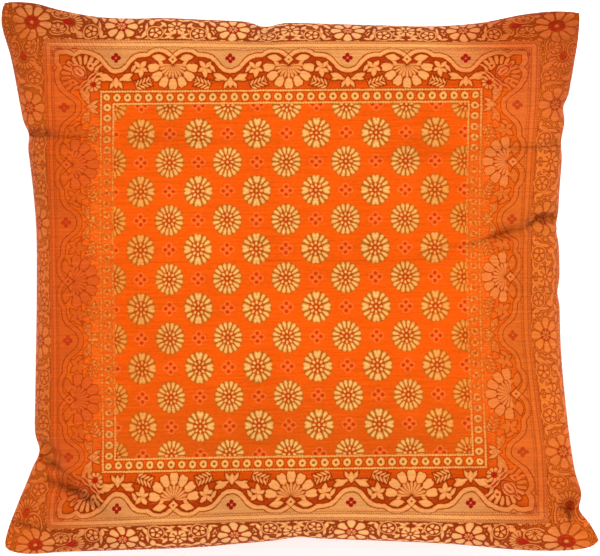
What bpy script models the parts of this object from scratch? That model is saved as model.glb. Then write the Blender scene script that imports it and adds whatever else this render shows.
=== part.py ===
# A square silk brocade cushion cover on its filling, lying on its back.
# Metres, +Z up. The origin is on the surface it lies on, under its middle.
# +X runs to the right of the patterned face and +Y to its top.

import math

import bmesh
import bpy

# Heights
SEAM_HEIGHT = 0.055      # the side seam, at the middle of each side
CORNER_DROOP = 0.005     # how far the thin corners hang below that
SEAM_RIPPLE = 0.0012     # slight unevenness of the seam's height
FRONT_CROWN = 0.064      # the face's highest point above the seam
BACK_CROWN = 0.070       # the back's depth below the seam, were it not lying on anything
CONTACT_REACH = 0.001    # what comes this near the surface lies flat on it

# Seam
PANEL_EDGE = 0.0009      # turned-in cloth of one panel at the seam
SEAM_GAP = 0.0003        # between the two panels

# Form of the crown: 0.5 is a full ellipse, and more leaves flatter margins
CROWN_POWER = 0.56
GRID_CELLS = 50          # cells along each side of a panel
EDGE_CROWDING = 0.5      # share of the spacing that crowds towards the seams

# Tips of the four corners: x, y
CORNERS = {
    "bottom_left": (-0.2062, -0.1901),
    "bottom_right": (0.2090, -0.1845),
    "top_left": (-0.2069, 0.1922),
    "top_right": (0.1964, 0.1859),
}

# Each side runs between two corners. A row gives a place along it, from 0 to 1,
# and how far the filling draws the seam in there from the straight line.
# Bottom and top run to the right, left and right run upwards.
SIDES = {
    "bottom": [
        (0.00, 0.0), (0.04, -0.0031), (0.10, -0.0020), (0.21, -0.0012), (0.33, 0.0003),
        (0.42, 0.0032), (0.50, 0.0052), (0.58, 0.0043), (0.75, 0.0), (0.86, -0.0048),
        (0.93, -0.0060), (0.98, -0.0042), (1.00, 0.0),
    ],
    "right": [
        (0.00, 0.0), (0.04, 0.0074), (0.09, 0.0118), (0.14, 0.0163), (0.26, 0.0205),
        (0.38, 0.0225), (0.52, 0.0218), (0.64, 0.0196), (0.74, 0.0156), (0.80, 0.0135),
        (0.85, 0.0100), (0.90, 0.0060), (0.95, 0.0022), (1.00, 0.0),
    ],
    "top": [
        (0.00, 0.0), (0.05, 0.0004), (0.10, 0.0052), (0.16, 0.0094), (0.22, 0.0104),
        (0.28, 0.0096), (0.36, 0.0104), (0.50, 0.0112), (0.66, 0.0119), (0.75, 0.0118),
        (0.83, 0.0086), (0.90, 0.0024), (0.955, -0.0004), (1.00, 0.0),
    ],
    "left": [
        (0.00, 0.0), (0.04, 0.0036), (0.09, 0.0106), (0.15, 0.0198), (0.21, 0.0216),
        (0.34, 0.0220), (0.50, 0.0236), (0.60, 0.0226), (0.72, 0.0180), (0.83, 0.0107),
        (0.90, 0.0054), (0.96, -0.0012), (1.00, 0.0),
    ],
}

# Puckers: where the seam is pinched in and a fold runs from it into the panel.
# notch is the seam's extra draw-in, width is across the fold, and pinch is the
# share of the crown that the fold takes away at its deepest.
PUCKERS = [
    dict(side="left", along=0.181, notch=0.0042, width=0.0085, inner=(-0.148, -0.150), pinch=0.42),
    dict(side="left", along=0.757, notch=0.0026, width=0.0060, inner=(-0.164, 0.101), pinch=0.26),
    dict(side="right", along=0.063, notch=0.0050, width=0.0070, inner=(0.172, -0.153), pinch=0.45),
    dict(side="right", along=0.474, notch=0.0018, width=0.0060, inner=(0.160, -0.011), pinch=0.16),
    dict(side="right", along=0.595, notch=0.0020, width=0.0080, inner=(0.133, 0.022), pinch=0.22),
    dict(side="right", along=0.757, notch=0.0016, width=0.0080, inner=(0.158, 0.089), pinch=0.24),
    dict(side="right", along=0.822, notch=0.0026, width=0.0055, inner=(0.168, 0.116), pinch=0.24),
    dict(side="top", along=0.455, notch=0.0036, width=0.0090, inner=(-0.027, 0.150), pinch=0.22),
    dict(side="bottom", along=0.494, notch=0.0014, width=0.0110, inner=(0.001, -0.160), pinch=0.14),
]
BACK_PINCH = 0.7         # the hidden back's folds are this share as deep

MATERIALS = {            # colour, roughness
    "front_panel": ((0.86, 0.24, 0.03, 1.0), 0.45),
    "back_panel": ((0.80, 0.15, 0.015, 1.0), 0.55),
}


def clear_scene():
    for old in list(bpy.data.objects):
        bpy.data.objects.remove(old, do_unlink=True)


def make_collection(name):
    collection = bpy.data.collections.new(name)
    bpy.context.scene.collection.children.link(collection)
    return collection


def smooth_curve(rows, place):
    """Value at a place on a smooth curve through the rows."""
    last = len(rows) - 1
    index = 0
    while index < last - 1 and place > rows[index + 1][0]:
        index += 1
    (x0, y0), (x1, y1) = rows[index], rows[index + 1]

    def slope(middle):
        before = rows[max(middle - 1, 0)]
        after = rows[min(middle + 1, last)]
        return (after[1] - before[1]) / (after[0] - before[0])

    span = x1 - x0
    t = (place - x0) / span
    start = y0 * (1 + 2 * t) * (1 - t) ** 2 + slope(index) * span * t * (1 - t) ** 2
    end = y1 * (3 - 2 * t) * t ** 2 - slope(index + 1) * span * t ** 2 * (1 - t)
    return start + end


def side_point(side, along):
    """Point of the seam on one side, with its draw-in and notches."""
    ends = {
        "bottom": ("bottom_left", "bottom_right", 1),
        "right": ("bottom_right", "top_right", 1),
        "top": ("top_left", "top_right", -1),
        "left": ("bottom_left", "top_left", -1),
    }
    first, second, turn = ends[side]
    (x0, y0), (x1, y1) = CORNERS[first], CORNERS[second]
    length = math.hypot(x1 - x0, y1 - y0)
    inward = (-turn * (y1 - y0) / length, turn * (x1 - x0) / length)
    drawn = smooth_curve(SIDES[side], along)
    for pucker in PUCKERS:
        if pucker["side"] == side:
            off = (along - pucker["along"]) * length / pucker["width"]
            drawn += pucker["notch"] * math.exp(-off * off)
    return (
        x0 + (x1 - x0) * along + inward[0] * drawn,
        y0 + (y1 - y0) * along + inward[1] * drawn,
    )


def panel_point(u, v):
    """Place in plan of a panel's point, u and v running from 0 to 1."""
    bottom, top = side_point("bottom", u), side_point("top", u)
    left, right = side_point("left", v), side_point("right", v)
    place = []
    for axis in range(2):
        corners = (
            CORNERS["bottom_left"][axis] * (1 - u) * (1 - v)
            + CORNERS["bottom_right"][axis] * u * (1 - v)
            + CORNERS["top_left"][axis] * (1 - u) * v
            + CORNERS["top_right"][axis] * u * v
        )
        place.append(
            bottom[axis] * (1 - v) + top[axis] * v
            + left[axis] * (1 - u) + right[axis] * u
            - corners
        )
    return place


def seam_level(a, b):
    """Height of the seam surface, a and b running from -1 to 1."""
    ripple = math.sin(5.1 * a + 1.3) * math.sin(4.3 * b - 0.6)
    return SEAM_HEIGHT - CORNER_DROOP * (a * b) ** 2 + SEAM_RIPPLE * ripple


def crown_share(a, b, x, y, pinch_share):
    """Share of the full crown at a point, lowered where a fold runs."""
    share = ((1 - a * a) * (1 - b * b)) ** CROWN_POWER
    for pucker in PUCKERS:
        sx, sy = side_point(pucker["side"], pucker["along"])
        ex, ey = pucker["inner"]
        length = math.hypot(ex - sx, ey - sy)
        t = ((x - sx) * (ex - sx) + (y - sy) * (ey - sy)) / length ** 2
        t = min(max(t, 0.0), 1.0)
        off = math.hypot(x - sx - (ex - sx) * t, y - sy - (ey - sy) * t) / pucker["width"]
        fade = 1 - t * t * (3 - 2 * t)
        share *= 1 - pucker["pinch"] * pinch_share * fade * math.exp(-off * off)
    return share


def rest_on_surface(height):
    """Height after the surface has flattened what would reach below it."""
    return height if height > CONTACT_REACH else 0.0


def crowded(place):
    """Grid place from -1 to 1, moved so that cells are narrower near the seams."""
    return (1 - EDGE_CROWDING) * place + EDGE_CROWDING * math.sin(math.pi / 2 * place)


def make_panel(name, collection, faces_up):
    """One panel with its half of the filling, closed at the seam surface."""
    direction = 1 if faces_up else -1
    shape = bmesh.new()
    bmesh.ops.create_grid(shape, x_segments=GRID_CELLS, y_segments=GRID_CELLS, size=1.0)
    edge = SEAM_GAP / 2 + PANEL_EDGE
    for vert in shape.verts:
        a, b = crowded(vert.co.x), crowded(vert.co.y)
        x, y = panel_point((1 + a) / 2, (1 + b) / 2)
        level = seam_level(a, b)
        if faces_up:
            z = level + edge + FRONT_CROWN * crown_share(a, b, x, y, 1.0)
        else:
            depth = BACK_CROWN * crown_share(a, b, x, y, BACK_PINCH)
            z = rest_on_surface(level - edge - depth)
        vert.co = (x, y, z)

    rim = [e for e in shape.edges if e.is_boundary]
    hem = bmesh.ops.extrude_edge_only(shape, edges=rim)["geom"]
    for vert in (g for g in hem if isinstance(g, bmesh.types.BMVert)):
        vert.co.z -= direction * PANEL_EDGE
    opening = [e for e in shape.edges if e.is_boundary]
    seam_face = bmesh.ops.holes_fill(shape, edges=opening, sides=0)["faces"]
    for centre in bmesh.ops.poke(shape, faces=seam_face)["verts"]:
        centre.co.z = seam_level(0, 0) + direction * SEAM_GAP / 2

    resting = [f for f in shape.faces if all(v.co.z == 0.0 for v in f.verts)]
    if resting:
        bmesh.ops.dissolve_faces(shape, faces=resting)
    bmesh.ops.recalc_face_normals(shape, faces=shape.faces)

    mesh = bpy.data.meshes.new(name)
    shape.to_mesh(mesh)
    shape.free()
    mesh.shade_smooth()
    mesh.set_sharp_from_angle(angle=math.radians(40))
    panel = bpy.data.objects.new(name, mesh)
    collection.objects.link(panel)
    return panel


def give_cloth(panel):
    colour, roughness = MATERIALS[panel.name]
    material = bpy.data.materials.new(panel.name + "_cloth")
    material.use_nodes = True
    shader = material.node_tree.nodes["Principled BSDF"]
    shader.inputs["Base Color"].default_value = colour
    shader.inputs["Roughness"].default_value = roughness
    shader.inputs["Metallic"].default_value = 0.0
    panel.data.materials.append(material)


def main():
    clear_scene()
    cover = make_collection("cushion_cover")
    for name, faces_up in (("front_panel", True), ("back_panel", False)):
        give_cloth(make_panel(name, cover, faces_up))


main()
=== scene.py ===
import math

import bmesh
import bpy
import numpy as np
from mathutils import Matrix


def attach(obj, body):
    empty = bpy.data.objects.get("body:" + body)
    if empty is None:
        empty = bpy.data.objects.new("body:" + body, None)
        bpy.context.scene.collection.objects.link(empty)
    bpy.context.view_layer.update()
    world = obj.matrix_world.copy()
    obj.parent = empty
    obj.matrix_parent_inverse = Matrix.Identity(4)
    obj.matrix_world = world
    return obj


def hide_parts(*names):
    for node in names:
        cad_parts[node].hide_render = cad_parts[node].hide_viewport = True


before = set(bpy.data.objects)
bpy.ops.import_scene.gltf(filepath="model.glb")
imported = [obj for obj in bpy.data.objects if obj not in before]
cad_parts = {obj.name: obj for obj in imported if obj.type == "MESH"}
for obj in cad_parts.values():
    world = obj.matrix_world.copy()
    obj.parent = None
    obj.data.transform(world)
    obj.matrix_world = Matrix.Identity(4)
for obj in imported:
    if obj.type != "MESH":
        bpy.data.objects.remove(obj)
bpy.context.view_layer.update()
print("frame loaded:", sorted(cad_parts))

# The cushion's form in metres: the same sizes as the two solids that the panels replace
coverForm = dict(
    seamHeight=0.055,      # of the side seam above the surface
    cornerDroop=0.005,
    seamRipple=0.0012, rippleAcross=(5.1, 1.3), rippleUp=(4.3, -0.6),
    frontCrown=0.064,
    backCrown=0.070,
    crownPower=0.56,
    panelEdge=0.0009,      # turned-in cloth of one panel
    seamGap=0.0003,
    backPinch=0.7,         # how deep the back's folds are, as a share of the front's
    cells=110,             # along each side of a panel, before it is subdivided
    rimStretch=1.0045,     # how much further the pattern runs on the turned-in cloth
    sharpFrom=55,          # degrees
)

cornerTips = dict(
    bottomLeft=(-0.2079, -0.1909), bottomRight=(0.2108, -0.1852),
    topLeft=(-0.2078, 0.1934), topRight=(0.1968, 0.1859),
)
tipRound = dict(bottomLeft=0.0062, bottomRight=0.0030, topLeft=0.0030, topRight=0.0015)

# Each side's seam: place along it, and how far the filling draws it in from the straight line
sideDraw = dict(
    bottom=[
        (0.00, 0.0), (0.04, -0.0031), (0.10, -0.0020), (0.21, -0.0012), (0.33, 0.0003),
        (0.42, 0.0032), (0.50, 0.0052), (0.58, 0.0043), (0.75, 0.0), (0.86, -0.0048),
        (0.93, -0.0060), (0.98, -0.0042), (1.00, 0.0),
    ],
    right=[
        (0.00, 0.0), (0.04, 0.0070), (0.09, 0.0112), (0.14, 0.0162), (0.26, 0.0207),
        (0.38, 0.0228), (0.52, 0.0216), (0.64, 0.0204), (0.74, 0.0162), (0.80, 0.0137),
        (0.85, 0.0100), (0.90, 0.0060), (0.95, 0.0022), (1.00, 0.0),
    ],
    top=[
        (0.00, 0.0), (0.05, 0.0004), (0.10, 0.0052), (0.16, 0.0094), (0.22, 0.0104),
        (0.28, 0.0096), (0.36, 0.0104), (0.50, 0.0112), (0.66, 0.0119), (0.75, 0.0118),
        (0.83, 0.0086), (0.90, 0.0024), (0.955, -0.0004), (1.00, 0.0),
    ],
    left=[
        (0.00, 0.0), (0.04, 0.0040), (0.09, 0.0114), (0.15, 0.0203), (0.21, 0.0222),
        (0.34, 0.0232), (0.50, 0.0240), (0.60, 0.0233), (0.72, 0.0184), (0.83, 0.0108),
        (0.90, 0.0054), (0.96, -0.0012), (1.00, 0.0),
    ],
)

sideEnds = dict(
    bottom=("bottomLeft", "bottomRight", 1), right=("bottomRight", "topRight", 1),
    top=("topLeft", "topRight", -1), left=("bottomLeft", "topLeft", -1),
)

# Where the seam is pinched in: side, place along it, notch, width, how deep the fold is, and its inner end
puckers = [
    ("left", 0.181, 0.0042, 0.0085, 0.42, (-0.148, -0.150)),
    ("left", 0.757, 0.0026, 0.0060, 0.26, (-0.164, 0.101)),
    ("right", 0.063, 0.0050, 0.0070, 0.45, (0.172, -0.153)),
    ("right", 0.474, 0.0018, 0.0060, 0.16, (0.160, -0.011)),
    ("right", 0.595, 0.0020, 0.0080, 0.22, (0.133, 0.022)),
    ("right", 0.757, 0.0016, 0.0080, 0.24, (0.158, 0.089)),
    ("right", 0.822, 0.0026, 0.0055, 0.24, (0.168, 0.116)),
    ("top", 0.455, 0.0036, 0.0090, 0.22, (-0.027, 0.150)),
    ("bottom", 0.494, 0.0014, 0.0110, 0.14, (0.001, -0.160)),
]


def smoothCurve(rows, place):   # value at a place on a smooth curve through the rows
    x, y = np.array(rows).T
    number = np.arange(len(x))
    before, after = np.maximum(number - 1, 0), np.minimum(number + 1, len(x) - 1)
    slope = (y[after] - y[before]) / (x[after] - x[before])
    i = np.clip(np.searchsorted(x, place) - 1, 0, len(x) - 2)
    span = x[i + 1] - x[i]
    t = (place - x[i]) / span
    start = y[i] * (1 + 2 * t) * (1 - t) ** 2 + slope[i] * span * t * (1 - t) ** 2
    end = y[i + 1] * (3 - 2 * t) * t ** 2 - slope[i + 1] * span * t ** 2 * (1 - t)
    return start + end


def smoothStep(t):
    t = np.clip(t, 0, 1)
    return t * t * (3 - 2 * t)


def sidePoint(side, along):     # the seam's place in plan, with its notches
    first, second, turn = sideEnds[side]
    (x0, y0), (x1, y1) = cornerTips[first], cornerTips[second]
    length = math.hypot(x1 - x0, y1 - y0)
    drawn = smoothCurve(sideDraw[side], along)
    for puckered, place, notch, width, fold, inner in puckers:
        if puckered == side:
            off = (along - place) * length / width
            drawn = drawn + notch * np.exp(-off * off)
    x = x0 + (x1 - x0) * along - turn * (y1 - y0) / length * drawn
    y = y0 + (y1 - y0) * along + turn * (x1 - x0) / length * drawn
    return np.stack([x, y])


def planPoint(a, b):            # place in plan, a and b running from -1 to 1
    u, v = (1 + a) / 2, (1 + b) / 2
    tip = {name: np.array(place).reshape(2, *[1] * np.ndim(a)) for name, place in cornerTips.items()}
    flat = (
        sidePoint("bottom", u) * (1 - v) + sidePoint("top", u) * v
        + sidePoint("left", v) * (1 - u) + sidePoint("right", v) * u
        - tip["bottomLeft"] * (1 - u) * (1 - v) - tip["bottomRight"] * u * (1 - v)
        - tip["topLeft"] * (1 - u) * v - tip["topRight"] * u * v
    )
    for name, place in tip.items():     # rounds the tips, as cloth that was turned inside out
        size = tipRound[name]
        outward = np.sign(place)
        x, y = np.maximum((flat - place) * outward + size, 0)
        rounded = np.maximum(x, y) / np.maximum(np.hypot(x, y), 1e-9)
        flat = flat - np.stack([x, y]) * outward * (1 - rounded) * ((x > 0) & (y > 0))
    return flat


def seamLevel(a, b):
    (fast, start), (fastUp, startUp) = coverForm["rippleAcross"], coverForm["rippleUp"]
    ripple = np.sin(fast * a + start) * np.sin(fastUp * b + startUp)
    droop = coverForm["cornerDroop"] * (a * b) ** 2
    return coverForm["seamHeight"] - droop + coverForm["seamRipple"] * ripple


def nearLine(x, y, start, end):     # distance to a line in plan, and where along it the nearest point is
    (sx, sy), (ex, ey) = start, end
    t = ((x - sx) * (ex - sx) + (y - sy) * (ey - sy)) / math.hypot(ex - sx, ey - sy) ** 2
    t = np.clip(t, 0, 1)
    return np.hypot(x - sx - (ex - sx) * t, y - sy - (ey - sy) * t), t


def panelPoint(a, b, faceUp):       # place in space of a panel's cloth
    x, y = planPoint(a, b)
    share = np.maximum((1 - a * a) * (1 - b * b), 0) ** coverForm["crownPower"]
    for side, place, notch, width, fold, inner in puckers:
        off, along = nearLine(x, y, sidePoint(side, np.array(place)), inner)
        depth = fold * (1.0 if faceUp else coverForm["backPinch"])
        share = share * (1 - depth * (1 - smoothStep(along)) * np.exp(-(off / width) ** 2))
    level = seamLevel(a, b)
    edge = coverForm["seamGap"] / 2 + coverForm["panelEdge"]
    if faceUp:
        return np.stack([x, y, level + edge + coverForm["frontCrown"] * share], -1)
    return np.stack([x, y, np.maximum(level - edge - coverForm["backCrown"] * share, 0.0)], -1)


def stepLengths(points, axis):
    return np.linalg.norm(np.diff(points, axis=axis), axis=-1)


def spreadCloth(cells, faceUp):     # spaces the grid evenly along the cloth, as the flat panel's is
    even = np.linspace(-1, 1, cells + 1)
    a, b = np.meshgrid(even, even, indexing="ij")
    for turn in range(6):
        for axis, moved in ((0, a), (1, b)):
            steps = stepLengths(panelPoint(a, b, faceUp), axis)
            run = np.cumsum(np.insert(steps, 0, 0, axis=axis), axis=axis)
            for line in range(cells + 1):
                at = (slice(None), line) if axis == 0 else (line, slice(None))
                moved[at] = np.interp(np.linspace(0, run[at][-1], cells + 1), run[at], moved[at])
    return panelPoint(a, b, faceUp)


# Both panels are blown up like one closed bag from the cloth's flat sizes, which puckers the seams
inflating = dict(
    flatSize=(0.407, 0.401),
    pressure=4.0,
    stiffness=25.0,
    bending=0.15,
    quality=6, mass=0.2,
    frames=26,
    furthest=0.006,        # that a point may move
)


def flatPanel(cells):               # places on the panel as it is cut, x and then y
    even = np.linspace(-0.5, 0.5, cells + 1)
    return np.meshgrid(*[even * size for size in inflating["flatSize"]], indexing="ij")


def gridCorners(grid):              # the four corners of each cell
    return np.stack([grid[:-1, :-1], grid[1:, :-1], grid[1:, 1:], grid[:-1, 1:]], -1).reshape(-1, 4)


def closeBag(front, back):      # one closed mesh of both grids, joined along the seam
    cells = len(front) - 1
    number = np.arange((cells + 1) ** 2).reshape(cells + 1, cells + 1)
    backNumber = number.copy()
    inside = (slice(1, -1), slice(1, -1))
    backNumber[inside] = (cells + 1) ** 2 + np.arange((cells - 1) ** 2).reshape(cells - 1, cells - 1)
    places = np.concatenate([front.reshape(-1, 3), back[inside].reshape(-1, 3)])
    faces = np.concatenate([gridCorners(number), gridCorners(backNumber)[:, ::-1]])
    return places, faces, number, backNumber


def inflate(front, back):
    cells = len(front) - 1
    bagFront, bagBack = front.copy(), back.copy()
    edge = np.ones((cells + 1, cells + 1), bool)
    edge[1:-1, 1:-1] = False
    bagFront[edge, 2] = (front[edge, 2] + back[edge, 2]) / 2
    places, faces, number, backNumber = closeBag(bagFront, bagBack)
    flat = np.zeros((cells + 1, cells + 1, 3))
    flat[..., 0], flat[..., 1] = flatPanel(cells)
    flatPlaces = closeBag(flat, flat)[0]

    mesh = bpy.data.meshes.new("bag")
    mesh.from_pydata(places.tolist(), [], faces.tolist())
    bag = bpy.data.objects.new("bag", mesh)
    bpy.context.scene.collection.objects.link(bag)
    bag.shape_key_add(name="filled")
    cut = bag.shape_key_add(name="cut")
    cut.data.foreach_set("co", flatPlaces.ravel())
    cut.value = 0.0
    held = bag.vertex_groups.new(name="held")
    resting = backNumber[back[..., 2] == 0.0]
    held.add([int(i) for i in np.unique(np.concatenate([number[edge], resting]))], 1.0, "REPLACE")

    cloth = bag.modifiers.new("inflate", "CLOTH")
    settings = cloth.settings
    settings.quality = inflating["quality"]
    settings.mass = inflating["mass"]
    settings.rest_shape_key = cut
    settings.vertex_group_mass = held.name
    settings.use_pressure = True
    settings.uniform_pressure_force = inflating["pressure"]
    settings.tension_stiffness = settings.compression_stiffness = inflating["stiffness"]
    settings.shear_stiffness = inflating["stiffness"] / 4
    settings.bending_stiffness = inflating["bending"]
    settings.effector_weights.gravity = 0.0
    cloth.collision_settings.use_collision = False
    cloth.point_cache.frame_start, cloth.point_cache.frame_end = 1, inflating["frames"]
    for step in range(1, inflating["frames"] + 1):
        bpy.context.scene.frame_set(step)
    shown = bag.evaluated_get(bpy.context.evaluated_depsgraph_get())
    result = np.zeros(len(places) * 3)
    shown.to_mesh().vertices.foreach_get("co", result)
    shown.to_mesh_clear()
    bpy.context.scene.frame_set(1)
    bpy.data.objects.remove(bag, do_unlink=True)

    move = result.reshape(-1, 3) - places
    far = np.linalg.norm(move, axis=1, keepdims=True)
    average, most = (round(value * 1000, 2) for value in (far.mean(), far.max()))
    print("inflated: moved", average, "mm on average,", most, "at most")
    move *= np.minimum(1, inflating["furthest"] / np.maximum(far, 1e-9))
    newFront, newBack = front + move[number], back + move[backNumber]
    newBack[..., 2] = np.maximum(newBack[..., 2], 0.0)
    newFront[edge], newBack[edge] = front[edge], back[edge]
    return newFront, newBack


# Where the woven pattern lies on the face: it is even where the cloth lies level
weavingPlace = dict(
    centre=(-0.0052, -0.0016), turn=math.radians(0.5),
    above=2.0,             # height over the seam from which the cloth looks flat
    share=0.9686,
    steepFrom=0.150, steepTo=0.166,     # further out, it follows the cloth down to the seam
    half=0.1292,           # of the square inside the beaded line
    sides=dict(            # rows of: place along the side, stretch of its vine, and of its outer band
        left=[(0.05, 1.13, 1.0), (0.35, 1.07, 1.0), (0.65, 1.08, 1.0), (0.95, 1.16, 1.0)],
        right=[(0.05, 1.145, 1.2), (0.35, 0.962, 1.2), (0.65, 0.993, 1.2), (0.95, 1.10, 1.2)],
        bottom=[(0.05, 1.16, 0.90), (0.35, 1.08, 1.01), (0.65, 1.05, 1.04), (0.95, 1.10, 1.06)],
        top=[(0.05, 1.04, 1.05), (0.35, 1.0, 1.03), (0.65, 0.98, 1.0), (0.95, 0.93, 1.0)],
    ),
    vineTo=0.025,          # out from the beaded line
    bandFrom=0.158, bandDrawn=0.024, bandShift=0.0012,     # further out, it is drawn in along the seam
    bandSoft=0.012,
    drift=dict(            # the loom's unevenness in millimetres, for powers of x (rows) and y
        unit=0.2,          # metres that x and y are counted in
        x=[
            [2.73, 0.33, -7.08, -1.84, 8.89], [-2.4, 1.87, -2.68, 1.59, 0], [-5.67, 0.9, -2.0, 0, 0],
            [7.18, -3.17, 0, 0, 0], [4.79, 0, 0, 0, 0],
        ],
        y=[
            [-1.18, -1.4, 5.23, 5.24, -6.08], [-0.45, 1.82, 0.12, -2.92, 0], [0.69, -0.12, -0.91, 0, 0],
            [0.4, 0.6, 0, 0, 0], [0.98, 0, 0, 0, 0],
        ],
        reach=0.78,
    ),
)


def patternPlaces(points):      # where each point of the face lies on the loom's even pattern
    place = weavingPlace
    near = place["above"] / (place["above"] + coverForm["seamHeight"] - points[..., 2])
    x, y = ((points[..., axis] * near - place["centre"][axis]) * place["share"] for axis in (0, 1))
    cosine, sine = math.cos(place["turn"]), math.sin(place["turn"])
    flat = np.stack([x * cosine + y * sine, y * cosine - x * sine], -1)
    spread = flat.copy()
    for axis in (0, 1):
        steep = np.abs(flat[..., axis]) - place["steepFrom"]
        steep = smoothStep(steep / (place["steepTo"] - place["steepFrom"]))
        between = (steep[1:] + steep[:-1]) / 2 if axis == 0 else (steep[:, 1:] + steep[:, :-1]) / 2
        more = np.maximum(stepLengths(points, axis) - stepLengths(flat, axis), 0) * between
        run = np.cumsum(np.insert(more, 0, 0, axis=axis), axis=axis)
        spread[..., axis] += run - np.take(run, [len(points) // 2], axis=axis)
    for axis, low, high in ((0, "left", "right"), (1, "bottom", "top")):
        along = np.clip(spread[..., 1 - axis] / place["half"] / 2 + 0.5, 0, 1)
        for sign, side in ((-1, low), (1, high)):
            at, vine, band = np.array(place["sides"][side]).T
            beyond = np.maximum(sign * spread[..., axis] - place["half"], 0)
            seen = beyond / np.interp(along, at, vine)
            more = np.maximum(seen - place["vineTo"], 0)
            seen -= more * (1 - 1 / np.interp(along, at, band))
            spread[..., axis] += sign * (seen - beyond)
    inBand = smoothStep((np.abs(spread[..., 1]) - place["bandFrom"]) / place["bandSoft"])
    spread[..., 0] += inBand * (place["bandDrawn"] * spread[..., 0] - place["bandShift"])
    drift = place["drift"]
    x, y = np.moveaxis(np.clip(flat / drift["unit"], -drift["reach"], drift["reach"]), -1, 0)
    for axis, table in enumerate((drift["x"], drift["y"])):
        spread[..., axis] += np.polynomial.polynomial.polyval2d(x, y, table) / 1000
    return spread


# Creases folded into the face, each a trough with a ridge on one side: width, depth, ridge, and its line
creases = [
    (0.0034, 0.0060, 0.3, [(0.1800, 0.0412), (0.1680, 0.0405), (0.1510, 0.0341)]),
    (0.0036, 0.0052, 0.4, [(0.1500, 0.0310), (0.1390, 0.0296), (0.1250, 0.0245)]),
    (0.0026, 0.0022, 0.4, [(0.1840, 0.0930), (0.1640, 0.0915)]),
    (0.0024, 0.0026, 0.4, [(-0.1960, 0.1005), (-0.1600, 0.0995)]),
    (0.0030, 0.0007, 0.3, [(-0.1760, 0.1390), (-0.1600, 0.1400)]),
    (0.0034, 0.0060, -0.6, [(-0.1830, -0.1230), (-0.1713, -0.1308), (-0.1590, -0.1370)]),
    (0.0060, 0.0075, 0.35, [(-0.1740, -0.1410), (-0.1560, -0.1505), (-0.1320, -0.1600)]),
    (0.0020, 0.0016, 0.5, [(-0.2010, -0.1710), (-0.1830, -0.1765)]),
    (0.0034, 0.0060, 0.4, [(0.1950, -0.1620), (0.1890, -0.1640), (0.1780, -0.1570)]),
    (0.0030, 0.0005, 0.4, [(-0.0130, -0.0860), (0.0270, -0.0850)]),
    (0.0030, 0.0004, 0.4, [(0.0060, -0.0885), (0.1190, -0.0905)]),
    (0.0040, 0.0028, -0.2, [(-0.0250, 0.1790), (-0.0235, 0.1640)]),
]
creaseRidge = 1.8           # how far the ridge lies from the trough, in widths of the crease
creaseOffSeam = 0.006       # metres over the seam in which the creases begin


def creaseDepth(crease, x, y):  # how deep the crease is at each place
    width, depth, ridge, line = crease
    line = np.array(line)
    lengths = np.linalg.norm(np.diff(line, axis=0), axis=1)
    nearest, side, along = np.full_like(x, 9.0), np.zeros_like(x), np.zeros_like(x)
    for i, (start, end) in enumerate(zip(line[:-1], line[1:])):
        off, share = nearLine(x, y, start, end)
        closer = off < nearest
        turn = np.sign((end[0] - start[0]) * (y - start[1]) - (end[1] - start[1]) * (x - start[0]))
        side = np.where(closer, turn * off, side)
        along = np.where(closer, (lengths[:i].sum() + share * lengths[i]) / lengths.sum(), along)
        nearest = np.minimum(nearest, off)
    side = side / width
    fade = smoothStep(1.5 * (1 - along)) * smoothStep(8 * along + 0.5)
    return depth * fade * (ridge * np.exp(-(side - creaseRidge) ** 2) - np.exp(-side ** 2))


def pressCreases(mesh):             # leaves the seam where it is
    place, normal = np.zeros(len(mesh.vertices) * 3), np.zeros(len(mesh.vertices) * 3)
    mesh.vertices.foreach_get("co", place)
    mesh.vertex_normals.foreach_get("vector", normal)
    place, normal = place.reshape(-1, 3), normal.reshape(-1, 3)
    depth = sum(creaseDepth(crease, place[:, 0], place[:, 1]) for crease in creases)
    depth *= smoothStep((place[:, 2] - coverForm["seamHeight"]) / creaseOffSeam)
    mesh.vertices.foreach_set("co", (place + normal * depth[:, None]).ravel())


# Shares of the map that finished pictures are baked on: the panel, its turned-in rim, and the inside
bakeMap = dict(
    panel=0.97, rimLong=0.96, rimOuter=0.975, rimInner=0.985, inside=(0.99, 0.994), insideWide=0.02,
)


def makePanel(name, points, faceUp, pattern):
    cells = len(points) - 1
    corners = gridCorners(np.arange((cells + 1) ** 2).reshape(cells + 1, cells + 1))
    if not faceUp:
        corners = corners[:, ::-1]
    mesh = bpy.data.meshes.new(name)
    mesh.from_pydata(points.reshape(-1, 3).tolist(), [], corners.tolist())
    even = np.linspace(0, 1, cells + 1)
    even = np.stack(np.meshgrid(even, even, indexing="ij"), -1) * bakeMap["panel"]
    for mapName, places in (("flatCloth", pattern), ("OFBake", even)):
        layer = mesh.uv_layers.new(name=mapName)
        layer.data.foreach_set("uv", places.reshape(-1, 2)[corners.ravel()].ravel())
    panel = bpy.data.objects.new(name, mesh)
    bpy.context.scene.collection.objects.link(panel)
    finer = panel.modifiers.new("finer", "SUBSURF")
    finer.levels = finer.render_levels = 1
    finer.boundary_smooth = "PRESERVE_CORNERS"
    finer.uv_smooth = "NONE"
    smooth = bpy.data.meshes.new_from_object(panel.evaluated_get(bpy.context.evaluated_depsgraph_get()))
    panel.modifiers.clear()
    panel.data = smooth
    bpy.data.meshes.remove(mesh)
    smooth.name = name
    if faceUp:
        pressCreases(smooth)
    closePanel(smooth, 1 if faceUp else -1)
    return panel


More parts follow.
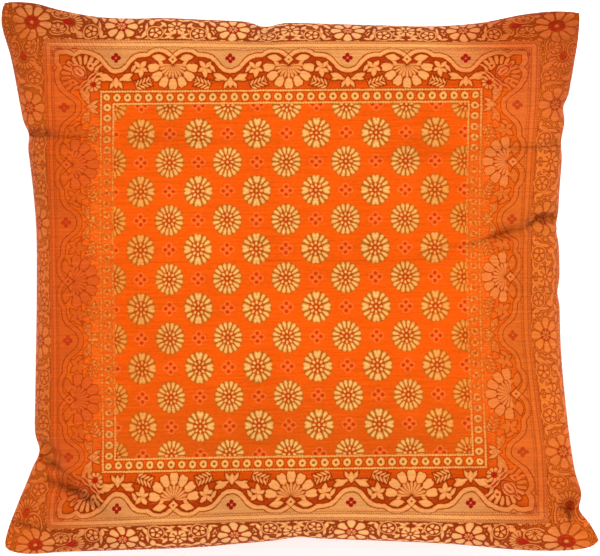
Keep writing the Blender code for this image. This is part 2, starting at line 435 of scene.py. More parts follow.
def closePanel(mesh, direction):    # turns the edge in towards the seam, and closes the filling's half there
    shape = bmesh.new()
    shape.from_mesh(mesh)
    cloth, bake = shape.loops.layers.uv["flatCloth"], shape.loops.layers.uv["OFBake"]
    rim = [edge for edge in shape.edges if edge.is_boundary]
    woven = {vert: vert.link_loops[0][cloth].uv.copy() for edge in rim for vert in edge.verts}
    hem = bmesh.ops.extrude_edge_only(shape, edges=rim)["geom"]
    turnedIn = [item for item in hem if isinstance(item, bmesh.types.BMVert)]
    source = {vert: next(edge.other_vert(vert) for edge in vert.link_edges if edge.other_vert(vert) in woven)
              for vert in turnedIn}
    for vert in turnedIn:
        vert.co.z -= direction * coverForm["panelEdge"]
    for face in (item for item in hem if isinstance(item, bmesh.types.BMFace)):
        turns = [math.atan2(loop.vert.co.y, loop.vert.co.x) / math.tau + 0.5 for loop in face.loops]
        for loop, turn in zip(face.loops, turns):
            turn += 1.0 if max(turns) - turn > 0.5 else 0.0
            inner = loop.vert in source
            further = coverForm["rimStretch"] if inner else 1.0
            loop[bake].uv = (turn * bakeMap["rimLong"], bakeMap["rimInner" if inner else "rimOuter"])
            loop[cloth].uv = woven[source.get(loop.vert, loop.vert)] * further
    opening = [edge for edge in shape.edges if edge.is_boundary]
    inner = bmesh.ops.holes_fill(shape, edges=opening, sides=0)["faces"]
    poked = bmesh.ops.poke(shape, faces=inner)
    for centre in poked["verts"]:
        centre.co.z = seamLevel(0, 0) + direction * coverForm["seamGap"] / 2
    for face in poked["faces"]:
        for loop in face.loops:
            place = loop.vert.co
            loop[cloth].uv = place.xy
            loop[bake].uv = [at + side * bakeMap["insideWide"] for at, side in zip(bakeMap["inside"], place)]
    bmesh.ops.recalc_face_normals(shape, faces=shape.faces)
    shape.to_mesh(mesh)
    shape.free()
    mesh.shade_smooth()
    mesh.set_sharp_from_angle(angle=math.radians(coverForm["sharpFrom"]))


front = spreadCloth(coverForm["cells"], True)
back = spreadCloth(coverForm["cells"], False)
pattern = patternPlaces(front)
backPattern = np.stack(flatPanel(coverForm["cells"]), -1)
print("panels spread")
front, back = inflate(front, back)
frontPanel = makePanel("brocadeFront", front, True, pattern)
backPanel = makePanel("silkBack", back, False, backPattern)
print("panels made:", len(frontPanel.data.polygons), "and", len(backPanel.data.polygons), "faces")


class Value:                # a socket of a material's nodes: maths on it adds Math nodes
    def __init__(self, cloth, socket):
        self.cloth, self.socket = cloth, socket

    def __add__(self, other):
        return self.cloth.math("ADD", self, other)

    def __sub__(self, other):
        return self.cloth.math("SUBTRACT", self, other)

    def __rsub__(self, other):
        return self.cloth.math("SUBTRACT", other, self)

    def __mul__(self, other):
        return self.cloth.math("MULTIPLY", self, other)

    def __truediv__(self, other):
        return self.cloth.math("DIVIDE", self, other)

    def __rtruediv__(self, other):
        return self.cloth.math("DIVIDE", other, self)

    def __gt__(self, other):
        return self.cloth.math("GREATER_THAN", self, other)

    __radd__, __rmul__ = __add__, __mul__


def drawLine(mapping, places):      # the smooth line of a curve node
    points = mapping.curves[0].points
    while len(points) < len(places):
        points.new(0.5, 0.5)
    for point, place in zip(points, places):
        point.location = place
    mapping.update()


def fillInputs(tree, made, inputs):     # by place or by name: values, or other nodes' outputs
    for key, value in (inputs.items() if isinstance(inputs, dict) else enumerate(inputs)):
        value = value.socket if isinstance(value, Value) else value
        if isinstance(value, bpy.types.NodeSocket):
            tree.links.new(value, made.inputs[key])
        else:
            made.inputs[key].default_value = value


def addNode(tree, kind, settings, inputs):
    made = tree.nodes.new(kind)
    for name, value in settings.items():
        if name == "line":
            drawLine(made.mapping, value)
        else:
            setattr(made, name, value)
    fillInputs(tree, made, inputs)
    return made


class ClothNodes:           # builds one material's nodes
    def __init__(self, name):
        self.material = bpy.data.materials.new(name)
        self.material.use_nodes = True
        self.tree = self.material.node_tree

    def node(self, kind, settings, inputs, output=0):
        return Value(self, addNode(self.tree, kind, settings, inputs).outputs[output])

    def finish(self, shading):      # fills the shader's own sockets
        fillInputs(self.tree, self.tree.nodes["Principled BSDF"], shading)
        return self.material

    def math(self, operation, *values, clamp=False):
        return self.node("ShaderNodeMath", dict(operation=operation, use_clamp=clamp), values)

    def vector(self, operation, *values, output=0):
        return self.node("ShaderNodeVectorMath", dict(operation=operation), values, output)

    def most(self, first, second):
        return self.math("MAXIMUM", first, second)

    def least(self, *values):
        result = values[0]
        for value in values[1:]:
            result = self.math("MINIMUM", result, value)
        return result

    def size(self, value):
        return self.math("ABSOLUTE", value)

    def fold(self, value, span):            # runs from 0 to span and back again
        return self.math("PINGPONG", value, span)

    def threads(self, value, half):         # runs from -0.5 to 0.5 and back, each half a thread wide
        return self.fold(value, half) * (1 / half) - 0.5

    def ramp(self, value, zeroAt, oneAt):
        return self.math("MULTIPLY_ADD", value, 1 / (oneAt - zeroAt), -zeroAt / (oneAt - zeroAt), clamp=True)

    def mask(self, distance, soft=0.3):     # 1 inside a shape and 0 outside it
        return self.math("MULTIPLY_ADD", distance, -1 / soft, 0.5, clamp=True)

    def join(self, x, y):
        return self.node("ShaderNodeCombineXYZ", {}, (x, y))

    def split(self, point):
        parts = addNode(self.tree, "ShaderNodeSeparateXYZ", {}, (point,)).outputs
        return Value(self, parts[0]), Value(self, parts[1])

    def stretch(self, point, x, y):
        return self.node("ShaderNodeMapping", {}, {0: point, 3: (x, y, 1)})

    def length(self, x, y):
        return self.vector("LENGTH", self.join(x, y), output=1)

    def polar(self, x, y):          # turn and radius
        return self.math("ARCTAN2", y, x), self.length(x, y)

    def place(self, point, x, y, lean=0, long=1.0, wide=1.0):    # along and across a motif that lies there
        seen = self.vector("SUBTRACT", point, (x, y, 0))
        cosine, sine = math.cos(math.radians(lean)), math.sin(math.radians(lean))
        return (self.vector("DOT_PRODUCT", seen, (cosine / long, sine / long, 0), output=1),
                self.vector("DOT_PRODUCT", seen, (-sine / wide, cosine / wide, 0), output=1))

    def leaf(self, point, x, y, long, wide, lean=0, pointed=0.0):   # distance to an oval or a pointed leaf
        seen = self.join(*self.place(point, x, y, lean, long, wide))
        reach = self.vector("LENGTH", seen, output=1)
        if pointed:
            corner = self.vector("DOT_PRODUCT", self.vector("ABSOLUTE", seen), (1, 1, 0), output=1)
            reach = self.math("MULTIPLY_ADD", reach, 1 - pointed, corner * pointed)
        return self.math("MULTIPLY_ADD", reach, wide, -wide)

    def leaves(self, point, rows, pointed):     # distance to the nearest of the leaves
        return self.least(*[self.leaf(point, *row, pointed=pointed) for row in rows])

    def petals(self, turn, radius, count, at, half, wide, notch=0.0):   # distance to a ring's nearest petal
        aside = self.fold(turn, math.pi / count) * at
        if notch:
            radius = radius + self.size(aside - wide / 2) * notch
        reach = (radius - at) / half
        return (self.length(aside / wide, reach * reach) - 1) * wide

    def curve(self, value, rows, wide, tall):   # height of a smooth line through the rows
        line = [(x / wide, y / tall) for x, y in rows]
        return self.node("ShaderNodeFloatCurve", dict(line=line), {"Value": value * (1 / wide)}) * tall

    def noise(self, point, scale, detail=2.0, rough=0.5, output=0):
        inputs = {"Vector": point, "Scale": scale, "Detail": detail, "Roughness": rough}
        return self.node("ShaderNodeTexNoise", {}, inputs, output)

    def blend(self, share, first, second, how="MIX"):
        settings = dict(data_type="RGBA", blend_type=how)
        return self.node("ShaderNodeMix", settings, {0: share, 6: first, 7: second}, 2)

    def shade(self, colour, tone):      # makes the colour lighter or darker
        tone = self.node("ShaderNodeCombineColor", {}, (tone, tone, tone))
        return self.blend(1.0, colour, tone, "MULTIPLY")


inStudio = 0.60             # the cloth's own share of how bright it looks in the studio's light


def screenColour(red, green, blue):     # the cloth's own colour, from how it should look on a screen
    values = [value / 255 for value in (red, green, blue)]
    values = [value / 12.92 if value <= 0.04045 else ((value + 0.055) / 1.055) ** 2.4 for value in values]
    return (*[value * inStudio for value in values], 1)


brocadeLook = dict(
    field=screenColour(250, 92, 10),
    fieldShadedLow=screenColour(226, 90, 16),     # painted shade towards the lower edge
    gold=screenColour(255, 196, 112),       # of the field's rosettes
    goldAside=screenColour(250, 146, 60),
    olive=screenColour(180, 96, 10),
    inRosette=screenColour(200, 62, 4),
    quatrefoil=screenColour(208, 54, 6),
    pink=screenColour(255, 124, 60),
    borderGold=screenColour(254, 168, 94),
    beadGold=screenColour(255, 188, 100),
    bandGold=screenColour(255, 186, 114),   # of the outer band, where the gold has its painted sheen
    borderRust=screenColour(146, 44, 0),
    vineGround=screenColour(188, 58, 6),
    bandGround=screenColour(184, 72, 18),
    dullGold=[screenColour(226, 92, 24), screenColour(234, 108, 34)],   # at the left and the right side, where the gold has no painted sheen
    dullFan=[screenColour(228, 92, 30), screenColour(244, 130, 58)],
    # the gold's colour in the corners' duller, partly shaded spots
    cornerGold=screenColour(232, 108, 46),
    dullSpeck=screenColour(240, 158, 66),
    dullRust=screenColour(160, 46, 4),
    dullGround=screenColour(226, 98, 18),
    dullBand=[screenColour(212, 102, 26), screenColour(230, 112, 30)],
    bandFill=[screenColour(230, 114, 42), screenColour(246, 124, 44)],
    # painted relief shade at the edges of the gold motifs
    petalEdgeShade=screenColour(232, 122, 44),
    red=screenColour(186, 24, 10),
    cornerDullAndShade=[           # spots where the gold is duller, partly its weave and partly painted shade: place, reach, strength
        ((180, 172), 90, 1.0), ((-180, 172), 80, 0.5), ((180, -172), 80, 0.5), ((-180, -172), 80, 0.5),
    ],
    sheenFade=dict(wide=50, closer=28, moved=38, over=15, aside=28, asideBy=0.35),   # across each corner, of the gold's painted sheen
    lowFrom=-56, lowTo=-126,    # the field's painted shade grows between these, towards the lower edge
    paleFrom=66, paleTo=122,    # the gold turns orange between these, off the middle
    vineFade=(-6.667, 15.555), dullFade=(4.8, 28.8),        # the grounds' colours leave the field's
    folds=[                # painted shade along the creases: place, half length, half width, lean
        (181.0, 38.9, 9.0, 0.8, 10), (166.0, 35.4, 8.5, 0.9, 21), (141.0, 28.0, 12.0, 0.8, 16),
        (-147.0, -142.0, 20.0, 2.4, -27), (-163.0, -122.5, 13.0, 1.2, -31), (177.6, -157.0, 6.0, 1.6, 78),
        (169.0, 89.2, 13.0, 0.4, 3), (-166.0, 99.3, 11.0, 0.4, -3), (-178.0, -162.0, 10.0, 0.5, -18),
    ],
    # how dark the creases' painted shade is, how soft, and how dark round them
    foldShade=0.42, foldSoft=2.2, foldShadeAround=0.12,
    halfAcross=30,         # the right side's colours take over within these, off the middle
    speckAt=0.55, speckFrom=0.45, speckTo=0.575,    # how the sides' dull gold is broken up
    mottleTo=13.3333, mottleFull=5,     # where it is, out from the beads
    mottleHides=0.85, speckShows=0.3,
    outline=0.8,           # millimetres of dark thread round each motif
    outlineDull=0.8, outlineBright=0.1, outlineByBeads=0.4, edgeShadeShare=0.55,
    uneven=0.9, unevenAt=0.55,  # millimetres that the threads wander, and how often
)

# Threads of the brocade: half of each one's width in millimetres, and how much darker or lighter they make
# it; then tone that shifts across the face, with painted shade towards the top and the corner tips
threadLook = dict(
    slant=0.7, rib=0.4, coarse=0.9,
    inGold=0.2, inGround=0.08, inTwill=0.16, plainDarker=0.15, twillDarker=0.1,
    slub=0.6, grain=0.45, cloudy=0.35,
    # upShade: painted shade, darker towards the top of the face
    bandDarker=0.002, lowestFrom=-150, lowestTo=-175, lowestLighter=0.14, upShade=0.0005,
    tipsFrom=270, tipsTo=360, tipsShade=0.14,      # x and y together, for painted shade towards the corner tips
    height=0.00001,        # metres that they stand up
)

# The field's repeat in millimetres: rosettes of two kinds, and quatrefoils between them
fieldRepeat = dict(
    pitch=(19.9, 19.79), shift=(-1.3, 0.2),
    wide=0.95, tall=1.03,  # of a rosette
    petalAt=7.6, petalHalf=2.6, petalGap=0.48, pairTurn=33, heartWide=1.4,
    pipAt=3.6, pipHalf=1.25, pipWide=0.85, middle=0.9, core=4.9, disc=10.4,
    lobeAt=2.7, lobe=1.95, lobeLine=0.24, dot=1.08, cross=0.8,
    wrinkleShades=[                 # painted shade of soft wrinkles across the field: y, strength
        (11.6, 0.13), (1.5, 0.08), (45.2, 0.07), (94.6, 0.08), (-88.0, 0.06),
    ],
)


def fieldFlowers(cloth, x, y):
    size = fieldRepeat
    pitch, tall = size["pitch"]
    farX, farY = (cloth.fold((value - shift) * (pitch / span), pitch)
                  for value, shift, span in zip((x, y), size["shift"], size["pitch"]))
    hearted = farX + farY > pitch
    flowerX = cloth.size(farX - hearted * pitch) / size["wide"]
    flowerY = cloth.size(farY - hearted * pitch) / (size["tall"] * pitch / tall)
    radius = cloth.length(flowerX, flowerY)
    angle = cloth.math("ARCTAN2", flowerY, flowerX)
    eighth = cloth.fold(angle, math.radians(45))
    paired = cloth.size(eighth - math.radians(size["pairTurn"]))
    even = math.radians(11.25) - cloth.fold(angle, math.radians(11.25))
    turn = even + (paired - even) * hearted
    reach = (radius - size["petalAt"]) / size["petalHalf"]
    reach = reach * reach
    petal = cloth.length(turn * radius / (radius * 0.2 - size["petalGap"]), reach) - 1
    heart = cloth.size(eighth * radius - (radius - 5) * 0.3) / size["heartWide"]
    heart = cloth.length(heart, reach) - hearted * 8 + 7
    pip = cloth.fold(angle, math.radians(22.5)) * radius / size["pipWide"]
    pip = cloth.length(pip, (radius - size["pipAt"]) / size["pipHalf"]) - 1
    gold = cloth.least(petal, heart, pip, radius - size["middle"])

    across = farX > farY
    dotX, dotY = cloth.size(farX - across * pitch), cloth.size(farY + across * pitch - pitch)
    lobe = cloth.length(cloth.most(dotX, dotY) - size["lobeAt"], cloth.least(dotX, dotY))
    return dict(
        gold=gold, disc=radius - size["disc"], core=radius - size["core"], dot=lobe - size["dot"],
        line=cloth.size(lobe - size["lobe"]) - size["lobeLine"], row=cloth.least(farY, pitch - farY),
        cross=cloth.length(dotX, dotY) - size["cross"],
    )


def fieldColour(cloth, flowers, y):
    look = brocadeLook
    # painted shade towards the lower edge
    colour = cloth.blend(cloth.ramp(y, look["lowFrom"], look["lowTo"]), look["field"], look["fieldShadedLow"])
    for part, soft, share, paint in (
        ("disc", 0.7, 0.9, "olive"), ("core", 1.5, 0.8, "inRosette"), ("line", 0.5, 1.0, "pink"),
        ("dot", 0.5, 0.9, "quatrefoil"), ("cross", 1.0, 0.6, "pink"),
    ):
        colour = cloth.blend(cloth.mask(flowers[part], soft) * share, colour, look[paint])
    return colour


# darker streaks between the repeat's rows, and painted shade of soft wrinkles
def fieldStreaksAndShade(cloth, flowers, y):
    streak = cloth.mask(flowers["row"] - 0.3, 0.5) * 0.05
    for at, strength in fieldRepeat["wrinkleShades"]:
        streak = cloth.most(streak, cloth.mask(cloth.size(y - at) - 0.4, 0.6) * strength)
    return streak


# The borders in millimetres: along each side from its middle, and out from the outer beaded line
borderRepeat = dict(
    square=129.2, halfRepeat=39.47,
    lineAt=(-0.3, -8.9), lineHalf=0.75, beadAt=-4.6, beadPitch=7.365, bead=2.6, beadHole=1.0,
    rope=0.95, ropeDeep=0.45,
    fieldEdge=-9.7, vineHalf=1.5, vineEdge=0.45,
    plainTo=28.6, twillAt=32.0, twillHalf=3.6, twillLine=1.2,
    fourDotsAt=22.6, fourDots=2.0, dot=1.5,
    pipPitch=0.6, pipsAt=2.4, pipsGap=0.55, pip=0.3,        # small dots along the twill
    budsAt=0.3, budsUneven=0.7, budGrows=3.3, budFrom=1.2, budClear=1.7,     # what fills the outer band
    hide=60, farOff=50,    # put a motif out of sight
)

# Middle line of the vine: off its lowest point, and out from the beads
vineRows = [
    (0.0, 13.6), (3.0, 14.1), (5.4, 15.4), (8.4, 18.6), (11.0, 21.6), (14.0, 23.7), (17.2, 24.7),
    (20.0, 24.9), (21.8, 25.0), (23.6, 26.2), (26.2, 27.7), (29.5, 28.3), (33.0, 27.8), (36.0, 26.2),
    (39.47, 23.4),
]
cornerVine = [
    (0.0, 13.6), (3.0, 14.1), (5.4, 16.0), (8.4, 19.3), (11.0, 22.4), (14.0, 24.4), (17.0, 26.0),
    (20.0, 26.8), (23.5, 26.9), (25.6, 25.8), (26.9, 24.9), (28.4, 25.8), (31.0, 26.9), (34.0, 26.9),
    (37.5, 26.4), (39.47, 26.0),
]

# Leaves of half a repeat: off the vine's lowest point, and out from the beads
tulipLeaves = [
    (0.0, 5.6, 3.9, 2.1, 90), (2.9, 4.3, 3.1, 1.3, -62), (7.2, 9.5, 4.9, 2.3, 25),
    (8.0, 7.9, 2.9, 1.2, -10), (4.4, 8.2, 2.6, 1.3, 20),
]
ivyLeaves = [
    (12.2, 15.6, 3.4, 1.4, 58), (17.4, 12.6, 3.8, 1.9, 82), (18.9, 18.2, 3.3, 1.8, 48),
    (15.0, 18.0, 3.0, 1.6, -50), (19.9, 14.6, 2.6, 1.4, -32), (14.9, 13.8, 2.5, 1.4, 32),
    (30.0, 22.9, 5.0, 2.6, -10), (31.2, 19.4, 2.6, 1.2, -34),
]
dipLeaves = [
    (16.6, 40.2, 3.7, 1.6, 72), (13.2, 37.9, 2.6, 1.1, -12), (18.0, 46.8, 4.8, 1.1, 84),
    (14.2, 53.4, 4.4, 1.8, 58), (20.6, 37.2, 2.6, 0.8, 8), (21.8, 52.6, 3.8, 2.2, 82),
    (26.0, 55.6, 4.2, 1.7, 30), (18.4, 57.6, 3.4, 1.6, -30), (11.4, 58.4, 3.2, 1.4, 12),
]
axisLeaves = [
    (33.9, 38.4, 2.9, 1.3, 24), (33.4, 40.8, 2.9, 1.2, -18), (35.4, 42.4, 2.4, 1.2, -62),
    (36.6, 37.6, 2.2, 0.9, -8), (30.2, 50.4, 3.4, 1.6, -58), (28.0, 47.6, 3.2, 1.1, 38),
    (29.6, 37.4, 2.9, 0.8, -6), (32.0, 57.0, 4.2, 1.8, -26), (30.6, 43.2, 3.0, 1.1, 62),
    (36.4, 56.4, 3.0, 1.4, 40),
]

# Corners: past the beads' corner along one side, and out from the beads; mirrored about the diagonal
cornerLeaves = [
    (13.6, 13.6, 6.4, 4.4, 45), (4.9, 10.1, 4.7, 1.8, -45), (6.3, 17.2, 3.6, 2.3, 76),
    (0.8, 11.8, 2.6, 1.0, -20), (0.4, 8.6, 2.2, 0.9, 4), (2.6, 14.6, 2.2, 0.9, -50),
]
cornerRed = [
    (13.2, 13.2, 2.2, 0.6, 45), (17.4, 17.4, 2.6, 0.6, 45), (4.9, 10.1, 3.5, 0.7, -45),
    (6.3, 17.2, 1.0, 0.8, 45), (16.0, 29.3, 2.2, 0.4, 0), (25.6, 29.3, 2.4, 0.4, 0),
]
cornerBandLeaves = [
    (17.2, 40.2, 3.2, 1.8, 30), (19.8, 41.8, 2.2, 1.1, -40), (15.4, 37.6, 2.6, 0.9, 6),
    (20.6, 57.4, 3.8, 1.7, 12), (36.8, 50.6, 2.4, 1.1, 70), (36.2, 57.2, 3.0, 1.5, -20),
    (24.8, 40.6, 2.8, 1.1, 24), (43.6, 59.6, 2.6, 1.2, 0),
]


# Rings of petals: how many in a turn, middle radius, half length, half width, and how notched
petalRings = dict(
    fan=(360 / 26.8, 13.75, 3.9, 2.8, 0.5), stamens=(360 / 17.2, 5.5, 4.3, 0.66),
    cornerBloom=(21, 10.9, 3.2, 1.1), cornerBud=(9, 3.4, 1.5, 0.95),
    daisy=(8, 4.4, 2.3, 1.3), ringed=(5, 2.7, 1.6, 1.25), star=(10, 8.8, 3.9, 2.2),
    big=(8, 8.0, 3.7, 2.5), bigHeart=(8, 2.0, 1.4, 0.5), bigRed=(8, 3.6, 1.2, 0.75),
    rays=(19, 6.2, 2.3, 0.75), inOval=(9, 3.0, 2.0, 0.8),
)

# Other sizes and places of the motifs, in millimetres and degrees
motifs = dict(
    fanBase=18.3, fanOpen=96, diamondAt=21.6, diamond=3.4, eye=0.8,
    fern=(18.6, 4.9, 20), fernHalf=5.4, leaflet=1.3,
    bloomAt=10.5, bloomOpen=104, budAt=4.6, budHeart=1.5, budRing=(13.3, 13.3, 4.6, 2.7, 45),
    packed=0.18, bandMiddle=47.3,
    ringedAt=(24.3, 42.0), ringed=5.7,
    raysAt=(23.7, 48.8), raysOpen=88, raysRed=(24.6, 49.0, 3.4, 2.4, 8),
    ovals=[(30.7, 44.0, 6.1, 5.1), (28.6, 55.6, 5.6, 4.2)],
    starAt=47.4, star=13.2, big=12.2, line=0.45,
)


def onDiagonal(cloth, past, out, at):       # turn and radius round a place on the corner's diagonal
    turn, radius = cloth.polar(past + out - at * 2, out - past)
    return turn, radius * 0.707


def beadBand(cloth, along, out):
    size = borderRepeat
    rope = cloth.fold(along, size["rope"]) * size["ropeDeep"]
    lines = cloth.least(*[cloth.size(out - at) for at in size["lineAt"]]) + rope - size["lineHalf"] - 0.12
    bead = cloth.length(cloth.fold(along, size["beadPitch"] / 2), (out - size["beadAt"]) * 0.92)
    return lines, bead - size["bead"], bead - size["beadHole"]


def vineGap(cloth, off, out, inCorner):     # how far out of the vine's middle line a place is, square to it
    half = borderRepeat["halfRepeat"]
    heights, steeps = [], []
    for rows in (vineRows, cornerVine):
        rise = np.gradient([row[1] for row in rows], [row[0] for row in rows])
        steep = [(row[0], math.hypot(1, slope)) for row, slope in zip(rows, rise)]
        heights.append(cloth.curve(off, rows, half, 40))
        steeps.append(cloth.curve(off, steep, half, 4))
    height, steep = (side + (corner - side) * inCorner for side, corner in (heights, steeps))
    return (out - height) / steep


def fanFlower(cloth, aside, out):
    turn, radius = cloth.polar(motifs["fanBase"] - out, aside)
    closed = (turn > math.radians(motifs["fanOpen"])) * borderRepeat["farOff"]
    up = out - motifs["diamondAt"]
    neck = (aside / motifs["diamond"] + cloth.size(up) / motifs["diamond"] - 1) * 2.0
    petal = cloth.petals(turn, radius, *petalRings["fan"]) + closed
    stamen = cloth.most(cloth.petals(turn, radius, *petalRings["stamens"]) + closed, 0.5 - neck)
    eye, outline = cloth.length(aside, up) - motifs["eye"], cloth.size(neck - 0.3) - 0.2
    return cloth.least(petal, stamen, neck), eye, outline


def fernSprig(cloth, point):
    along, aside = cloth.place(point, *motifs["fern"])
    aside = cloth.size(aside)
    leaflet = cloth.length(cloth.fold(along - aside * 0.9, motifs["leaflet"]) / 0.95, (aside - 1.7) / 1.7) - 1
    return cloth.most(leaflet, cloth.size(along - 0.5) - motifs["fernHalf"])


def borderFlowers(cloth, off, out, past, inCorner):     # the vine, and all that grows on it
    size, rings = borderRepeat, petalRings
    hidden = inCorner * size["hide"]
    spot = cloth.join(off + hidden, out)
    gap = vineGap(cloth, off, out, inCorner)
    fan, eye, outline = fanFlower(cloth, size["halfRepeat"] - off + hidden, out)
    gold = cloth.least(
        cloth.most(size["vineHalf"] + size["vineEdge"] - gap, out - size["plainTo"]),
        cloth.size(gap) - size["vineHalf"], fan, cloth.leaves(cloth.join(off, out), tulipLeaves, 0.4),
        cloth.leaves(spot, ivyLeaves, 0.45), fernSprig(cloth, spot),
    )

    corner = cloth.join(past, out)
    turn, radius = onDiagonal(cloth, past, out, motifs["bloomAt"])
    bloom = cloth.petals(turn, radius, *rings["cornerBloom"])
    bloom = bloom + (turn > math.radians(motifs["bloomOpen"])) * size["farOff"]
    turn, radius = onDiagonal(cloth, past, out, motifs["budAt"])
    bloom = cloth.least(
        bloom, cloth.leaves(corner, cornerLeaves, 0.4), cloth.petals(turn, radius, *rings["cornerBud"]),
    )
    gold = cloth.least(gold, cloth.most(bloom, -1.6 - past))
    fourDots = cloth.size(out - size["fourDotsAt"])
    fourDots = cloth.length(cloth.most(off, fourDots) - size["fourDots"], cloth.least(off, fourDots))
    red = cloth.least(
        cloth.leaves(corner, cornerRed, 0.0), radius - motifs["budHeart"],
        cloth.size(cloth.leaf(corner, *motifs["budRing"])) - 0.4, fourDots - size["dot"],
    )
    dark = cloth.least(eye, outline, cloth.size(gap - size["vineHalf"] - 0.25) - 0.22)
    return gold, dark, red, gap, fan


def bandCorner(cloth, past, out):           # what the outer band has at its corners
    rings, far = petalRings, borderRepeat["farOff"]
    corner = cloth.join(past, out)
    turn, radius = cloth.polar(motifs["raysAt"][0] - past, out - motifs["raysAt"][1])
    rays = cloth.petals(turn, radius, *rings["rays"])
    rays = rays + (cloth.size(turn) > math.radians(motifs["raysOpen"])) * far
    gold = cloth.least(cloth.leaves(corner, cornerBandLeaves, 0.35), rays)
    for x, y, long, wide in motifs["ovals"]:
        oval = cloth.leaf(corner, x, y, long, wide)
        across, up = cloth.place(corner, x, y - 1.6)
        turn, radius = cloth.polar(up, across)
        inner = cloth.petals(turn, radius, *rings["inOval"])
        gold = cloth.least(cloth.most(gold, 0.6 - oval), cloth.size(oval) - motifs["line"],
                           cloth.most(inner, oval + 1.1))
    return gold, cloth.leaf(corner, *motifs["raysRed"])


def bandFlowers(cloth, off, out, past, inCorner):       # the outer band
    size, rings = borderRepeat, petalRings
    packed = off * (inCorner * motifs["packed"] + 1)
    hidden = inCorner * size["hide"]
    up = out - motifs["bandMiddle"]
    turn, radius = cloth.polar(size["halfRepeat"] - off + hidden, up)
    gold = cloth.least(
        cloth.leaves(cloth.join(packed, out), dipLeaves, 0.35),
        cloth.leaves(cloth.join(off + hidden, out), axisLeaves, 0.35),
        cloth.petals(turn + math.radians(22.5), radius, *rings["daisy"]), radius - 1.1,
    )
    turn, radius = cloth.polar(packed - motifs["ringedAt"][0], out - motifs["ringedAt"][1])
    cornerGold, cornerRed = bandCorner(cloth, past, out)
    gold = cloth.least(
        cloth.most(gold, motifs["ringed"] + 0.6 - radius), cornerGold,
        cloth.size(radius - motifs["ringed"]) - motifs["line"], cloth.petals(turn, radius, *rings["ringed"]),
    )
    red = cloth.least(radius - 0.8, cornerRed)
    turn, radius = onDiagonal(cloth, past, out, motifs["starAt"])
    star = cloth.petals(turn, radius, *rings["star"])
    gold = cloth.least(cloth.most(gold, motifs["star"] - radius), star, radius - 1.2)
    red = cloth.least(red, cloth.size(radius - 3.2) - 1.4)
    turn, radius = cloth.polar(up, off)
    gold = cloth.least(
        cloth.most(gold, motifs["big"] - radius), cloth.petals(turn, radius, *rings["big"]),
        cloth.petals(turn, radius, *rings["bigHeart"]),
    )
    return gold, cloth.least(red, cloth.petals(turn + math.radians(22.5), radius, *rings["bigRed"]))


def sheenAndRustShare(cloth, absX, absY, out):    # painted sheen: the gold shows bright along the top and bottom, and hardly at the sides; the same share sets where the border's ground is rust
    fade, square = brocadeLook["sheenFade"], borderRepeat["square"]
    further = cloth.ramp(out, 0, fade["over"])
    sheenAndRust = absY - absX + fade["wide"] - further * fade["moved"]
    sheenAndRust = cloth.math("DIVIDE", sheenAndRust, fade["wide"] - further * fade["closer"], clamp=True)
    return sheenAndRust * (1 - cloth.ramp(absX, square, square + fade["aside"]) * fade["asideBy"])


def borderGround(cloth, out, inBand, atRight, sheenAndRust):
    look = brocadeLook
    ground = cloth.blend(cloth.ramp(out, *look["vineFade"]), look["field"], look["vineGround"])
    ground = cloth.blend(inBand, ground, look["bandGround"])
    dull = cloth.blend(cloth.ramp(out, *look["dullFade"]), look["field"], look["dullGround"])
    dull = cloth.blend(inBand, dull, cloth.blend(atRight, *look["dullBand"]))
    return cloth.blend(sheenAndRust, dull, ground)


